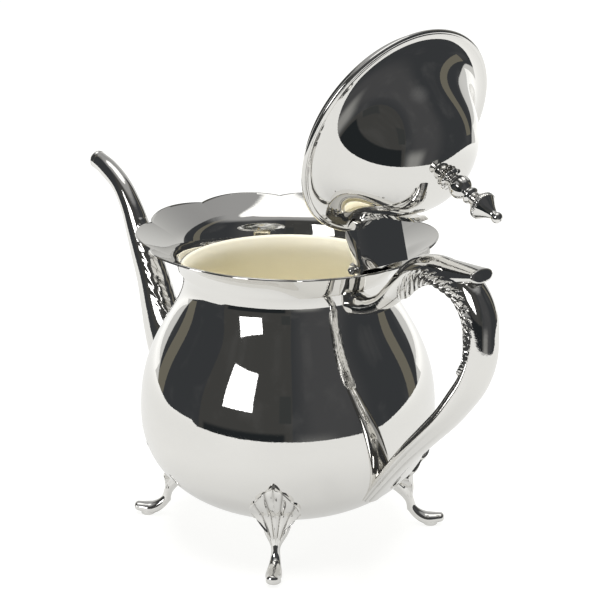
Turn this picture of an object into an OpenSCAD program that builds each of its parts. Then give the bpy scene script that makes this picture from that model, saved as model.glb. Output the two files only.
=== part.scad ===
// Footed teapot in polished plate: hinged ogee lid, scalloped gallery, swan-neck spout,
// scrolled handle and four cast feet. Millimetres, +Z up, +X towards the spout.
// The origin is on the pot's axis, in the plane that the four feet stand on.
// The lid is drawn standing open, which is its rest pose.

/* [Pot] */
// Greatest radius of the belly
belly_r = 70; // [66:1:74]
// Height of the belly's widest ring above the table
belly_z = 60; // [58:1:64]
// Height of the flat underside above the table
base_z = 12; // [10:1:14]
// Radius of the neck at its narrowest, outside
neck_r = 48.8; // [48.5:0.1:49.1]
// Height of the narrowest ring of the neck
neck_z = 123; // [120:1:124]
// Thickness of the sheet that the pot is raised from
wall = 1.3; // [1:0.1:1.6]

/* [Gallery] */
// Radius of the pot's mouth, inside, where the gallery starts
mouth_r = 49.3; // [49.1:0.1:49.5]
// Height of the pot's mouth
mouth_z = 129.3; // [128.8:0.1:129.4]
// Radius of the gallery's lip at the notches between scallops
lip_r = 65.8; // [65.6:0.1:67]
// How far each scallop bows out past the notches
scallop = 3.7; // [0:0.1:5]
// Number of scallops round the lip
scallops = 10; // [6:1:12]
// Height of the lip at the notches, at the pot's sides
lip_z = 143.3; // [142.5:0.1:143.5]
// How much higher the lip stands at the spout, and lower at the hinge
lip_tilt = 1.9; // [0:0.1:2.4]

/* [Lid] */
// Angle that the lid stands open from closed, in degrees
open_angle = 112; // [95:1:112]
// Radius of the lid's rim
rim_r = 49.8; // [49.6:0.1:50.1]
// Height of the lid's rim when the lid is shut
rim_z = 131; // [130.8:0.1:131.4]
// Height of the top of the dome when the lid is shut
dome_z = 165.8; // [161:0.2:168]
// Outside radius of the plug ring that enters the mouth
plug_r = 46.2; // [45.4:0.1:46.4]

/* [Hinge] */
// Distance of the hinge pin behind the pot's axis
pin_x = 61; // [60.6:0.1:61.2]
// Height of the hinge pin
pin_z = 143; // [142.9:0.1:143.4]
// Radius of the hinge pin
pin_r = 1.25; // [1:0.05:1.4]
// Width of the lid's hinge box across its two cheeks
box_w = 26; // [22:1:30]

/* [Knob] */
// Height of the knob above the dome
knob_h = 32.6; // [28:0.2:36]
// Greatest radius of the knob
knob_r = 6; // [5:0.25:7]

/* [Spout and handle] */
// Reach of the spout's tip from the pot's axis
spout_reach = 158; // [152:1:164]
// Height of the middle of the spout's mouth
spout_tip_z = 150.5; // [146:0.5:153]
// Outside radius of the spout at its mouth
spout_tip_r = 4.6; // [4.4:0.1:6]
// Greatest distance of the handle's middle line from the pot's axis
handle_reach = 126; // [122:1:130]

/* [Feet] */
// Distance of each foot pad's middle from the pot's axis
foot_r = 69; // [67:0.5:71]
// Radius of the flat pad under each foot
pad_r = 3.4; // [2.8:0.1:4]

/* [Hidden] */

$fn = 96;
silver = [0.86, 0.86, 0.87];
dark_silver = [0.62, 0.62, 0.64];
brass = [0.80, 0.66, 0.38];

// ---------------------------------------------------------------- curves and meshes

function lerp(a, b, t) = a + (b - a) * t;
function bez(p, t) = pow(1 - t, 3) * p[0] + 3 * pow(1 - t, 2) * t * p[1]
                     + 3 * (1 - t) * t * t * p[2] + pow(t, 3) * p[3];
// parameter of a Bezier at which its coordinate k reaches v; the coordinate grows with t
function bez_at(p, k, v, lo = 0, hi = 1, n = 24) =
    let (m = (lo + hi) / 2)
    n == 0 ? m : (bez(p, m)[k] < v ? bez_at(p, k, v, m, hi, n - 1) : bez_at(p, k, v, lo, m, n - 1));
// smooth curve through the points, u from 0 to the number of spans
function through(p, u) =
    let (n = len(p) - 1, i = min(floor(u), n - 1), t = u - i,
         a = p[max(i - 1, 0)], b = p[i], c = p[i + 1], d = p[min(i + 2, n)])
    0.5 * (2 * b + (c - a) * t + (2 * a - 5 * b + 4 * c - d) * t * t
           + (3 * b - a - 3 * c + d) * t * t * t);

// closed solid from rings of equal length: each ring runs round, the rings run along,
// and the two ends are capped
module skin(rings) {
    n = len(rings[0]);
    m = len(rings);
    polyhedron(
        points = [for (r = rings) each r],
        faces = [
            for (i = [0:m - 2], j = [0:n - 1])
                each let (a = i * n + j, b = i * n + (j + 1) % n) [[a, b, b + n], [a, b + n, a + n]],
            [for (j = [n - 1:-1:0]) j],
            [for (j = [0:n - 1]) (m - 1) * n + j]
        ]);
}

// closed ring-shaped solid: the last ring joins the first
module skin_loop(rings) {
    n = len(rings[0]);
    m = len(rings);
    polyhedron(
        points = [for (r = rings) each r],
        faces = [
            for (i = [0:m - 1], j = [0:n - 1])
                each let (a = i * n + j, b = i * n + (j + 1) % n, k = i == m - 1 ? -(m - 1) * n : n)
                    [[a, b, b + k], [a, b + k, a + k]]
        ]);
}

// oval ring in the plane across a path that lies in the XZ plane
function across(c, dir, in_plane, across_y, n) =
    [for (j = [0:n - 1]) let (w = 360 * j / n, s = in_plane * cos(w))
        [c[0] - dir[1] * s, across_y * sin(w), c[1] + dir[0] * s]];
function unit(v) = v / norm(v);
function heading(p, u, n) = unit(through(p, min(u + 0.02, n)) - through(p, max(u - 0.02, 0)));

// ---------------------------------------------------------------- the pot's outline

belly_square = 2.3;
base_drop = belly_z - base_z + 1;
shoulder = [[belly_r, belly_z], [belly_r, belly_z + 36], [neck_r, neck_z - 15], [neck_r, neck_z]];
function lower_r(z) = belly_r * pow(1 - pow((belly_z - z) / base_drop, belly_square), 1 / belly_square);
function upper_r(z) = bez(shoulder, bez_at(shoulder, 1, z))[0];
// outside radius of the pot at a height between the underside and the neck
function pot_r(z) = z < belly_z ? lower_r(z) : upper_r(min(z, neck_z));
// a point that would lie inside the pot is moved out to just under its outer face
function seated(p, bury) =
    let (r = norm([p[0], p[1]]), z = p[2],
         k = z < base_z + 0.2 || z > mouth_z ? 0 : (z < neck_z ? pot_r(z) : flare_r(z)) - bury)
    r < k ? [p[0] * k / r, p[1] * k / r, z] : p;

flare_steps = 5;
function flare_r(z) = lerp(neck_r, mouth_r + wall, 1 - cos(90 * (z - neck_z) / (mouth_z - neck_z)));
pot_outline = concat(
    [[0, base_z]],
    [for (i = [0:15]) let (z = belly_z - (belly_z - base_z) * cos(90 * i / 15)) [lower_r(z), z]],
    [for (i = [1:15]) bez(shoulder, i / 15)],
    [for (i = [1:flare_steps]) let (z = lerp(neck_z, mouth_z, i / flare_steps)) [flare_r(z), z]]);
// the same outline one wall thickness further in, from the mouth down to the axis
last = len(pot_outline) - 1;
pot_inside = [for (i = [last:-1:1])
    let (a = pot_outline[i - 1], b = pot_outline[min(i + 1, last)], d = unit(b - a))
    [max(pot_outline[i][0] - wall * d[1], 0), i == last ? mouth_z : pot_outline[i][1] + wall * d[0]]];

spout_root_z = 54;
spout_root_deep = 24;
spout_root_wide = 16.5;
strainer_r = 1.6;
strainer_pitch = 5.4;

module pot_shell() {
    color(silver) difference() {
        rotate_extrude() polygon(concat(pot_outline, pot_inside, [[0, base_z + wall]]));
        // strainer: a rosette of holes behind the spout
        for (ring = [0:2], k = [0:max(6 * ring - 1, 0)]) {
            w = 60 * k / max(ring, 1);
            out = ring * strainer_pitch;
            translate([belly_r - 15, out * sin(w), spout_root_z + out * cos(w)])
                rotate([0, 90, 0]) cylinder(r = strainer_r, h = 30);
        }
    }
}

// ---------------------------------------------------------------- gallery

gallery_wall = 1.3;
gallery_rise = 0.35;
gallery_turns = 120;
gallery_rows = 8;
// the collar rises steeply from the mouth and then rolls over into the flatter flange
collar_bow = 6.7;
collar_t = 0.12;
function bow(t) = collar_bow * (1 - t) * (1 - exp(-t / collar_t));
// 0 behind the lid, where the gallery stays straight to take the hinge, and 1 all round the rest
function clear_of_hinge(w) = let (t = min(max((abs(w - 180) - 24) / 26, 0), 1)) t * t * (3 - 2 * t);
function lobe(w) = pow(abs(sin(scallops * w / 2)), 0.8);
function edge_r(w) = lip_r + scallop * lobe(w);
function edge_z(w) = lip_z + lip_tilt * cos(w) + gallery_rise * scallop * lobe(w);
// a point of the gallery's inner face: t is 0 at the mouth and 1 at the lip
function gallery_point(w, t, out) =
    let (r0 = mouth_r + 0.8, r1 = lerp(lip_r, edge_r(w), t * t),
         z1 = lerp(lip_z + lip_tilt * cos(w), edge_z(w), t * t),
         r = lerp(r0, r1, t) + out * 0.7,
         z = lerp(mouth_z + 0.05, z1, t) + bow(t) * clear_of_hinge(w) - out * 0.7 * (1 - 0.5 * t))
    [r * cos(w), r * sin(w), z];
function row_t(k) = pow(k / gallery_rows, 1.6);

module gallery() {
    color(silver) skin_loop([for (i = [0:gallery_turns - 1]) let (w = 360 * i / gallery_turns) concat(
        [for (k = [gallery_rows:-1:0]) gallery_point(w, row_t(k), 0)],
        [for (k = [0:gallery_rows]) gallery_point(w, row_t(k), gallery_wall)])]);
}

// ---------------------------------------------------------------- spout

// middle line of the swan neck in the XZ plane, from the belly to the mouth
spout_line = [[74, spout_root_z], [84, 56.5], [93, 63], [99.5, 72.5], [104.5, 84], [109, 96], [115, 108],
              [121, 119.5], [127, 130.5], [135.5, 140.5], [spout_reach - 11, spout_tip_z - 3.5],
              [spout_reach, spout_tip_z]];
// half width in the plane of the neck, and half width across it, at the same places
spout_deep = [24, 19, 15, 12.3, 10.2, 8.9, 8, 7, 5.9, 5.2, 5.1, spout_tip_r];
spout_wide = [15, 13.4, 11.8, 10.4, 9.2, 8.2, 7.4, 6.5, 5.6, 5, 4.8, spout_tip_r - 0.4];
spout_wall = 1.0;
spout_n = 28;
spout_span = len(spout_line) - 1;
spout_rows = 30;
spout_bury = 0.5;

// ring on the belly where the spout is seated, one point for each point of a spout ring
function seat_ring(inset) = [for (j = [0:spout_n - 1])
    let (w = 360 * j / spout_n, y = (spout_root_wide - inset) * sin(w),
         z = spout_root_z + (spout_root_deep - inset) * cos(w),
         r = pot_r(z) - spout_bury) [sqrt(r * r - y * y), y, z]];
function spout_ring(u, inset) =
    let (d = heading(spout_line, u, spout_span),
         a = through([for (i = [0:spout_span]) [spout_deep[i], spout_wide[i]]], u))
    across(through(spout_line, u), d, a[0] - inset, a[1] - inset, spout_n);

module spout() {
    rings = function (inset) concat(
        [seat_ring(inset)],
        [for (i = [1:spout_rows]) spout_ring(spout_span * i / spout_rows, inset)]);
    outer = rings(0);
    inner = rings(spout_wall);
    color(silver) skin_loop(concat(outer, [for (i = [len(inner) - 1:-1:0]) inner[i]]));
}

// ---------------------------------------------------------------- handle

// middle line in the XZ plane, from the neck up and round to the strap on the belly
handle_line = [[-48, 122.3], [-57.5, 123.4], [-66, 127.5], [-73, 133.5], [-79.5, 140], [-87.5, 146.5],
               [-97, 149.8], [-107.5, 149.2], [-118, 145.6], [-handle_reach + 0.3, 136.8],
               [-handle_reach - 0.2, 126], [-handle_reach + 0.1, 116], [-121.8, 105.5], [-115.3, 95.5],
               [-107, 85], [-96.5, 74], [-86.5, 63.5], [-77, 52.5], [-68, 41.5], [-60.5, 31.5]];
handle_deep = [5.2, 4.2, 4.2, 4.8, 5.2, 5.8, 6.2, 6.8, 7.4, 7.4, 7, 6.8, 6.6, 6.2, 5.5, 4.9, 4.5, 4, 3.4, 2];
handle_wide = [7.5, 6, 5.4, 5.6, 6, 6.6, 7.2, 7.6, 7.6, 7.4, 7.2, 7, 7, 6.9, 6.8, 6.6, 6.5, 6.4, 6.2, 5.6];
handle_n = 20;
handle_span = len(handle_line) - 1;
handle_rows = 48;
handle_bury = 0.5;

function handle_ring(u) =
    let (a = through([for (i = [0:handle_span]) [handle_deep[i], handle_wide[i]]], u))
    [for (p = across(through(handle_line, u), heading(handle_line, u, handle_span), a[0], a[1], handle_n))
        seated(p, handle_bury)];

module handle() {
    color(silver) {
        skin([for (i = [0:handle_rows]) handle_ring(handle_span * i / handle_rows)]);
        // the broad tongue that the thumb rests on
        skin([for (i = [0:4]) let (t = i / 4)
            across([lerp(-108, -125.8, t), lerp(149.2, 153.3, t)], unit([-1, 0.12]),
                   lerp(7, 3.2, t), lerp(7.5, 6.8, t), 14)]);
    }
}

// ---------------------------------------------------------------- feet

foot_angles = [45, 135, 225, 315];
leaf_top_z = 46;
leaf_low_z = 17;
leaf_half_w = 13;
leaf_rows = 8;
leaf_cols = 8;
leaf_thick = 1.5;
leaf_bury = 0.25;
// half width of the leaf plate at t, 0 at the ankle and 1 at the tip
function leaf_w(t) = leaf_half_w
    * (t < 0.3 ? lerp(0.32, 1, sin(90 * t / 0.3)) : cos(90 * pow((t - 0.3) / 0.72, 1.3)));
function leaf_point(t, s, out) =
    let (z = lerp(leaf_low_z, leaf_top_z, t), r = pot_r(z), y = s * leaf_w(t),
         vein = out * (1 - 0.55 * abs(s)), k = r - leaf_bury + vein)
    [k * cos(y / r * 180 / PI), k * sin(y / r * 180 / PI), z - vein * 0.35 * (1 - t)];
// the leg's middle line in the foot's own radial plane, with half depth and half width
leg_line = [[49.5, 25], [55.5, 18.6], [58.6, 12.6], [60.8, 7], [66.5, 3.2], [74, 3.6]];
leg_size = [[4.4, 8], [3.2, 5.2], [2.1, 2.2], [2.3, 2.4], [2.9, 3.6], [2.2, 2.8]];
leg_rows = 15;
leg_n = 14;

module foot(w) {
    color(silver) rotate([0, 0, w]) {
        skin([for (i = [0:leaf_rows]) let (t = i / leaf_rows) concat(
            [for (k = [leaf_cols:-1:0]) leaf_point(t, 2 * k / leaf_cols - 1, leaf_thick)],
            [for (k = [0:leaf_cols]) leaf_point(t, 2 * k / leaf_cols - 1, 0)])]);
        skin([for (i = [0:leg_rows]) let (u = 5 * i / leg_rows, a = through(leg_size, u))
            [for (p = across(through(leg_line, u), heading(leg_line, u, 5), a[0], a[1], leg_n))
                seated(p, leaf_bury)]]);
        translate([foot_r, 0, 0]) cylinder(r = pad_r, h = 3);
    }
}

// ---------------------------------------------------------------- hinge

pin_at = [-pin_x, 0, pin_z];
knuckle_r = 3.2;
knuckle_gap = 0.35;
cheek_t = 2.2;
tongue_w = box_w - 2 * cheek_t - 2 * knuckle_gap;
pin_fit = 0.05;
ball_r = 1.8;

// a child drawn with the lid shut is turned about the pin to where it stands open
module on_open_lid() {
    translate(pin_at) rotate([0, -open_angle, 0]) translate(-pin_at) children();
}
// a bar of length w along Y, whose section is drawn in the XZ plane
module along_y(w) {
    translate([0, w / 2, 0]) rotate([90, 0, 0]) linear_extrude(w) children();
}

// height at which the bracket is soldered to the gallery's inner face, behind the lid
function bracket_z(r) =
    lerp(mouth_z, lip_z - lip_tilt, (r - mouth_r - 0.8) / (lip_r - mouth_r - 0.8)) - 0.2;
module hinge_bracket() {
    web_in = 56;
    web_out = 61;
    color(silver) difference() {
        union() {
            translate(pin_at) rotate([90, 0, 0]) cylinder(r = knuckle_r, h = tongue_w, center = true);
            along_y(tongue_w) polygon([
                [-pin_x - knuckle_r * 0.7, pin_z - knuckle_r * 0.6], [-pin_x, pin_z - pin_r - 0.8],
                [-pin_x + knuckle_r * 0.8, pin_z - knuckle_r * 0.4],
                [-web_in, bracket_z(web_in)], [-web_out, bracket_z(web_out)]]);
        }
        translate(pin_at) rotate([90, 0, 0]) cylinder(r = pin_r + pin_fit, h = tongue_w + 2, center = true);
    }
}

module hinge_pin() {
    color(silver) translate(pin_at) rotate([90, 0, 0]) {
        cylinder(r = pin_r, h = box_w + 2, center = true);
        for (s = [-1, 1]) translate([0, 0, s * (box_w / 2 + ball_r - 0.5)]) sphere(r = ball_r);
    }
}

// ---------------------------------------------------------------- lid, drawn shut

lid_wall = 1.2;
rim_t = 2.2;
dome = [[rim_r - 1, rim_z + 1], [27, rim_z + 2], [35.5, dome_z], [0, dome_z]];
dome_rows = 22;
function dome_at(r) = bez(dome, bez_at([for (p = dome) [-p[0], p[1]]], 0, -r))[1];
dome_outline = [for (i = [0:dome_rows]) bez(dome, i / dome_rows)];
dome_inside = [for (i = [dome_rows:-1:0])
    let (a = dome_outline[max(i - 1, 0)], b = dome_outline[min(i + 1, dome_rows)], d = unit(b - a))
    [i == dome_rows ? 0 : max(dome_outline[i][0] - lid_wall * d[1], 0), dome_outline[i][1] + lid_wall * d[0]]];
stud_r = 1.6;

module lid_shell() {
    color(silver) on_open_lid() difference() {
        rotate_extrude() union() {
            polygon(concat(dome_outline, dome_inside));
            // rolled rim
            translate([rim_r - rim_t / 2, rim_z]) circle(r = rim_t / 2, $fn = 32);
            translate([plug_r - 1, rim_z - 0.6]) square([rim_r - rim_t / 2 - plug_r + 1, 1.2]);
        }
        translate([0, 0, dome_z - 10]) cylinder(r = stud_r + 0.1, h = 20);
    }
}

plug_low = rim_z - 4.8;
plug_t = 1.1;
module lid_plug_ring() {
    color(silver) on_open_lid() rotate_extrude() polygon([
        [plug_r - plug_t, plug_low], [plug_r - 0.4, plug_low], [plug_r, plug_low + 0.6], [plug_r, rim_z - 0.65],
        [plug_r + 1.6, rim_z - 0.65], [plug_r + 1.6, rim_z - 0.61], [plug_r - plug_t, rim_z - 0.61]]);
}

cheek_r = 3.4;
box_r = 41;
// the box's bottom edge, on the dome's cove: a little inside its face, so that the two join
function cove(r) = [-r, dome_at(r) - 0.35];
module lid_hinge_box() {
    // the top plate runs from the dome's cove to the roll over the pin
    color(silver) on_open_lid() difference() {
        union() {
            translate(pin_at) rotate([90, 0, 0]) cylinder(r = cheek_r, h = box_w, center = true);
            along_y(box_w) polygon([
                [-pin_x - 2.8, pin_z + 1.8], [-pin_x - 1.5, pin_z + 3.5], [-pin_x + 0.2, pin_z + 4.4],
                [-pin_x + 1.8, pin_z + 5.1], [-pin_x + 3.8, pin_z + 5.6], [-box_r, dome_at(box_r) + 1.8],
                cove(box_r), cove(44), cove(48), [-rim_r - 0.5, rim_z + 1.3],
                [-pin_x + 3, pin_z - 1.7], [-pin_x, pin_z - pin_r]]);
        }
        // room for the bracket between the cheeks, up to the thin top plate
        translate(pin_at) rotate([90, 0, 0])
            cylinder(r = cheek_r + 0.15, h = box_w - 2 * cheek_t, center = true);
        along_y(box_w - 2 * cheek_t) polygon([
            [-pin_x - 8, pin_z + 8], [-pin_x - 8, pin_z - 10], [-rim_r, pin_z - 10], [-48, dome_at(48) + 0.6],
            [-pin_x + 4.6, pin_z + 4.3], [-pin_x + 2.2, pin_z + 4.2], [-pin_x, pin_z + 3.6],
            [-pin_x - 1.4, pin_z + 3], [-pin_x - 1.4, pin_z + 8]]);
        translate(pin_at) rotate([90, 0, 0]) cylinder(r = pin_r + 0.005, h = box_w + 2, center = true);
    }
}

leaf_line_n = 9;
thumb_lift = 3.8;
module thumb_leaf() {
    // a ribbed leaf that lies on the dome above the hinge and curls up at its tip
    color(silver) on_open_lid() skin([for (i = [0:leaf_line_n])
        let (t = i / leaf_line_n, x = lerp(41.5, 25.5, t), w = lerp(11, 3.4, sqrt(t)),
             lift = thumb_lift * pow(sin(90 * min(max(t - 0.2, 0) / 0.7, 1)), 2)) concat(
            [for (k = [-4:4]) let (y = w * k / 4, r = norm([x, y]))
                [-x, y, dome_at(r) + lift + 1.8 * (1 - 0.5 * pow(k / 4, 2))]],
            [for (k = [4:-1:-4]) let (y = w * k / 4, r = norm([x, y]))
                [-x, y, dome_at(r) + lift - 0.3 - lift * (t < 0.99 ? 0.5 : 0.2)]])]);
}

// ---------------------------------------------------------------- knob, drawn on the shut lid

rosette_h = 3;
rosette_r = 4.6;
petals = 8;
module knob_rosette() {
    color(silver) on_open_lid() difference() {
        translate([0, 0, dome_z - 0.2]) union() {
            cylinder(r = rosette_r - 0.6, h = rosette_h);
            for (k = [0:petals - 1]) rotate([0, 0, 360 * k / petals])
                translate([rosette_r - 0.9, 0, rosette_h / 2]) sphere(r = rosette_h / 2, $fn = 24);
        }
        translate([0, 0, dome_z - 5]) cylinder(r = stud_r + 0.1, h = 12);
        translate([-10, -10, dome_z - 6]) cube([20, 20, 5.95]);
    }
}

knob_z = dome_z + rosette_h - 0.2;
function kz(t) = knob_z + (knob_h - rosette_h) * t;
stud_in = 6;
module knob() {
    ball_t = 0.16;
    color(silver) on_open_lid() difference() {
        union() {
            translate([0, 0, kz(ball_t)]) sphere(r = knob_r * 0.82);
            rotate_extrude() polygon([
                [0, kz(0)], [3, kz(0)], [3.4, kz(0.04)], [3.4, kz(0.3)], [2.5, kz(0.32)], [3.7, kz(0.36)],
                [3.7, kz(0.39)], [2.7, kz(0.42)], [3.6, kz(0.5)], [5.2, kz(0.57)], [knob_r, kz(0.61)],
                [knob_r, kz(0.66)], [5.3, kz(0.69)], [3.6, kz(0.76)], [2.2, kz(0.84)], [1.7, kz(0.87)],
                [2.3, kz(0.9)], [2.4, kz(0.94)], [1.7, kz(0.98)], [0, kz(1)]]);
        }
        translate([0, 0, knob_z - 10]) cylinder(r = stud_r + 0.005, h = 10 + stud_in);
        translate([-10, -10, knob_z - 10]) cube([20, 20, 10]);
    }
}

washer_z = dome_z - lid_wall - 1.2;
module knob_stud() {
    color(brass) on_open_lid() translate([0, 0, washer_z - 4.4])
        cylinder(r = stud_r, h = knob_z + stud_in - washer_z + 4.3);
}
module knob_washer() {
    color(dark_silver) on_open_lid() translate([0, 0, washer_z]) difference() {
        cylinder(r = 4.5, h = 0.8);
        translate([0, 0, -1]) cylinder(r = stud_r + 0.1, h = 3);
    }
}
module knob_nut() {
    color(brass) on_open_lid() translate([0, 0, washer_z - 3]) difference() {
        cylinder(r = 3.4, h = 2.9, $fn = 6);
        translate([0, 0, -1]) cylinder(r = stud_r + 0.005, h = 5);
    }
}

pot_shell();
gallery();
spout();
handle();
foot(foot_angles[0]);  // front_left_foot
foot(foot_angles[1]);  // back_left_foot
foot(foot_angles[2]);  // back_right_foot
foot(foot_angles[3]);  // front_right_foot
hinge_bracket();
hinge_pin();
lid_shell();
lid_plug_ring();
lid_hinge_box();
thumb_leaf();
knob_rosette();
knob();
knob_stud();
knob_washer();
knob_nut();
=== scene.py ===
import math

import bmesh
import bpy
import numpy as np
from mathutils import Euler, Matrix, Vector


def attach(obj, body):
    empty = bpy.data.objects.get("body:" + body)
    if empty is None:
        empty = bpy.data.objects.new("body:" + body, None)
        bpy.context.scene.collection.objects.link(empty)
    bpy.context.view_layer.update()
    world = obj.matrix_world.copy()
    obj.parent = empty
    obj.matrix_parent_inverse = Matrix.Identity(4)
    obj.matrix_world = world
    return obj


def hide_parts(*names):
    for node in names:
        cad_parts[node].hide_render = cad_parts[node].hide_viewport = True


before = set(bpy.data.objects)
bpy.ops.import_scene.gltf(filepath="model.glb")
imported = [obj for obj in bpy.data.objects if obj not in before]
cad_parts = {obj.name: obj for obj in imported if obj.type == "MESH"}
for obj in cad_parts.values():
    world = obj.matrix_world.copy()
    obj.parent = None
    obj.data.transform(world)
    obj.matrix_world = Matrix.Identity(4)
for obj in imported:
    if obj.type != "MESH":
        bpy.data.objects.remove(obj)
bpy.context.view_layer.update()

MM = 0.001
TAU = 2 * math.pi
CAMERA_SIDE = math.radians(140)      # where the camera stands round the pot, from +X

# ------------------------------------------------------------------ shapes shared with the CAD source, in mm

BELLY_R, BELLY_Z, BASE_Z = 70.0, 60.0, 12.0
NECK_R, NECK_Z, WALL = 48.8, 123.0, 1.3
MOUTH_R, MOUTH_Z = 49.3, 129.3
LIP_R, SCALLOP, SCALLOPS, LIP_Z, LIP_TILT = 65.8, 3.7, 10, 143.3, 1.9
OPEN_ANGLE, RIM_R, RIM_Z, DOME_Z, PLUG_R = 112.0, 49.8, 131.0, 165.8, 46.2
PIN_X, PIN_Z = 61.0, 143.0
KNOB_H, KNOB_R = 32.6, 6.0
FOOT_R, PAD_R = 69.0, 3.4
SPOUT_Z, SPOUT_DEEP, SPOUT_WIDE = 54.0, 24.0, 16.5


def lerp(a, b, t):
    return a + (b - a) * t


def smooth(a, b, x):
    """0 at a and 1 at b, eased between them."""
    t = np.clip((x - a) / (b - a), 0, 1)
    return t * t * (3 - 2 * t)


def bump(x, centre, width):
    """A soft hump of height 1."""
    return np.exp(-(((x - centre) / width) ** 2))


def bez(p, t):
    """Cubic Bezier curve from its four points."""
    p = np.array(p, float)
    t = np.asarray(t, float)[..., None]
    return (1 - t) ** 3 * p[0] + 3 * (1 - t) ** 2 * t * p[1] + 3 * (1 - t) * t * t * p[2] + t ** 3 * p[3]


def through(points, u):
    """Smooth curve through the points; u is an array from 0 to the number of spans."""
    p = np.array(points, float)
    n = len(p) - 1
    u = np.asarray(u, float)
    i = np.clip(np.floor(u).astype(int), 0, n - 1)
    t = (u - i)[..., None]
    a, b, c, d = p[np.maximum(i - 1, 0)], p[i], p[i + 1], p[np.minimum(i + 2, n)]
    second, third = 2 * a - 5 * b + 4 * c - d, 3 * b - a - 3 * c + d
    return 0.5 * (2 * b + (c - a) * t + second * t * t + third * t ** 3)


def heading(points, u):
    """Unit direction of that curve."""
    n = len(points) - 1
    h = through(points, np.minimum(u + 0.02, n)) - through(points, np.maximum(u - 0.02, 0))
    return h / np.linalg.norm(h, axis=-1, keepdims=True)


BOWL_POWER = 2.3                     # 2 would make the lower half of the belly an ellipse


def lower_r(z):
    """Radius of the pot below the belly's widest place."""
    drop = (BELLY_Z - z) / (BELLY_Z - BASE_Z + 1)
    return BELLY_R * np.clip(1 - drop ** BOWL_POWER, 0, 1) ** (1 / BOWL_POWER)


SHOULDER = bez([[BELLY_R, BELLY_Z], [BELLY_R, BELLY_Z + 36], [NECK_R, NECK_Z - 15], [NECK_R, NECK_Z]],
               np.linspace(0, 1, 400))


def flare_r(z):
    """Radius of the neck's flare, from the neck to the mouth."""
    rise = np.clip((z - NECK_Z) / (MOUTH_Z - NECK_Z), 0, 1)
    return lerp(NECK_R, MOUTH_R + WALL, 1 - np.cos(math.pi / 2 * rise))


def pot_r(z):
    """Outer radius of the pot at any height."""
    z = np.asarray(z, float)
    r = np.where(z < BELLY_Z, lower_r(np.minimum(z, BELLY_Z)), np.interp(z, SHOULDER[:, 1], SHOULDER[:, 0]))
    return np.where(z > NECK_Z, flare_r(z), r)


def seated(p, bury):
    """Points that would lie inside the pot move out to just under its outer face."""
    r = np.hypot(p[..., 0], p[..., 1])
    z = p[..., 2]
    k = np.where((z < BASE_Z + 0.2) | (z > MOUTH_Z), 0, pot_r(np.clip(z, BASE_Z + 0.2, MOUTH_Z)) - bury)
    f = np.where(r < k, k / np.maximum(r, 1e-6), 1)
    return np.stack([p[..., 0] * f, p[..., 1] * f, z], -1)


def opened(p):
    """Points drawn on the shut lid, turned about the hinge to where the lid stands open."""
    a = math.radians(OPEN_ANGLE)
    c, s = math.cos(a), math.sin(a)
    x, z = p[..., 0] + PIN_X, p[..., 2] - PIN_Z
    return np.stack([x * c - z * s - PIN_X, p[..., 1], x * s + z * c + PIN_Z], -1)


# ------------------------------------------------------------------ meshes

def mesh_object(name, verts, faces, materials, body, nodes, dull_shaded_hollows=None, face_material=None):
    """One visible piece: verts in mm, and at each of them from 0 to 1 how far painted shade darkens the
    silver in its rougher hollows.
    """
    me = bpy.data.meshes.new(name)
    me.from_pydata([tuple(v) for v in np.asarray(verts) * MM], [], faces)
    for m in materials:
        me.materials.append(m)
    if face_material is not None:
        me.polygons.foreach_set("material_index", np.asarray(face_material, np.int32))
    if dull_shaded_hollows is not None:
        at = me.attributes.new("dull_shaded_hollows", "FLOAT", "POINT")
        at.data.foreach_set("value", np.asarray(dull_shaded_hollows, np.float32).ravel())
    me.validate()
    bm = bmesh.new()
    bm.from_mesh(me)
    bmesh.ops.recalc_face_normals(bm, faces=bm.faces)
    bm.to_mesh(me)
    bm.free()
    me.polygons.foreach_set("use_smooth", np.ones(len(me.polygons), bool))
    me.set_sharp_from_angle(angle=math.radians(50))
    ob = bpy.data.objects.new(name, me)
    bpy.context.scene.collection.objects.link(ob)
    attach(ob, body)
    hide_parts(*nodes)
    return ob


def grid_faces(nu, nv, loop_u, loop_v, cap_u=False, start=0):
    """Faces of a grid of nu rows by nv points, closed round in u or v, its end rows capped if asked."""
    faces = []
    for i in range(nu if loop_u else nu - 1):
        a, b = start + i * nv, start + ((i + 1) % nu) * nv
        for j in range(nv if loop_v else nv - 1):
            k = (j + 1) % nv
            faces.append((a + j, a + k, b + k, b + j))
    if cap_u:
        faces.append(tuple(range(start + nv - 1, start - 1, -1)))
        faces.append(tuple(range(start + (nu - 1) * nv, start + nu * nv)))
    return faces


def shells(name, parts, materials, body, nodes):
    """One object from several grids: (points, loop_u, loop_v, capped, painted shade of the hollows or None).
    """
    verts, faces, cav = [], [], []
    for p, loop_u, loop_v, cap, c in parts:
        n = sum(len(v) for v in verts)
        faces += grid_faces(p.shape[0], p.shape[1], loop_u, loop_v, cap, n)
        verts.append(p.reshape(-1, 3))
        cav.append(np.zeros(p.shape[0] * p.shape[1]) if c is None else c.ravel())
    mesh_object(name, np.concatenate(verts), faces, materials, body, nodes, np.concatenate(cav))


def revolve(profile, n, turn=None):
    """(n, len(profile), 3) grid of points of a profile [r, z]; turn(w, t) scales the radius."""
    w = np.linspace(0, TAU, n, endpoint=False)[:, None]
    r, z = np.asarray(profile, float).T
    t = np.linspace(0, 1, len(r))[None, :]
    k = np.ones((n, len(r))) if turn is None else turn(w, t)
    return np.stack([r * k * np.cos(w), r * k * np.sin(w), z + 0 * w], -1)


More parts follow.
